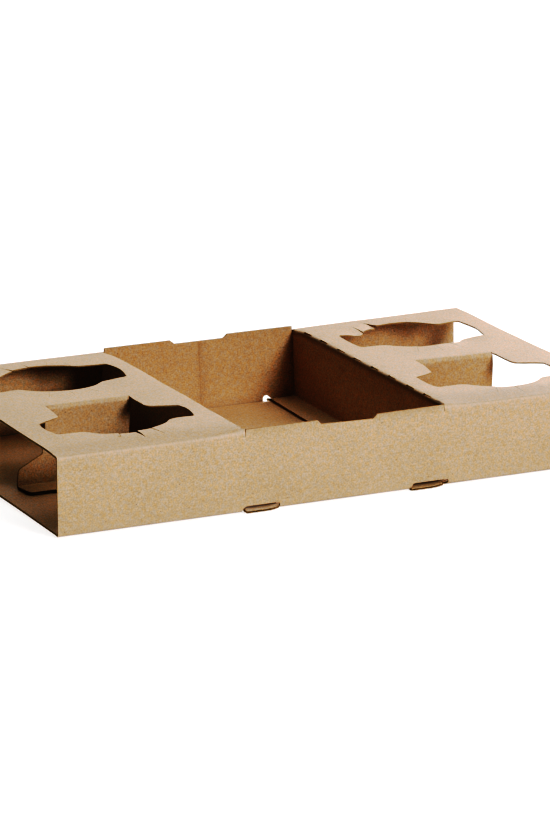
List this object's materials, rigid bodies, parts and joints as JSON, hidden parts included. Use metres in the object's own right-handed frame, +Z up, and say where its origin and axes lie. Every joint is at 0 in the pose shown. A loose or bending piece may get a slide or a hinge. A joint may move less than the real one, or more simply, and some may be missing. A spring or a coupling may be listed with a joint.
{
  "type": "cardboard cup carrier",
  "caption": "Low folded corrugated-board carrier with round cup holes with ears on both sides, folded-down dividers and an open compartment between them.",
  "frame": {"origin": "middle of the carrier's outline, at the level that it stands on, the lowest edge of its lock tabs", "axes": "+X along the length of the flat sleeve, +Y from the front wall to the rear wall, +Z up out of the cup holes"},
  "size_m": [0.3836, 0.2194, 0.0532],
  "materials": {
    "kraft_board": "matt unbleached kraft liner on fine flute"
  },
  "bodies": {
    "root": {"cup_carrier": "kraft_board"}
  },
  "joints": []
}
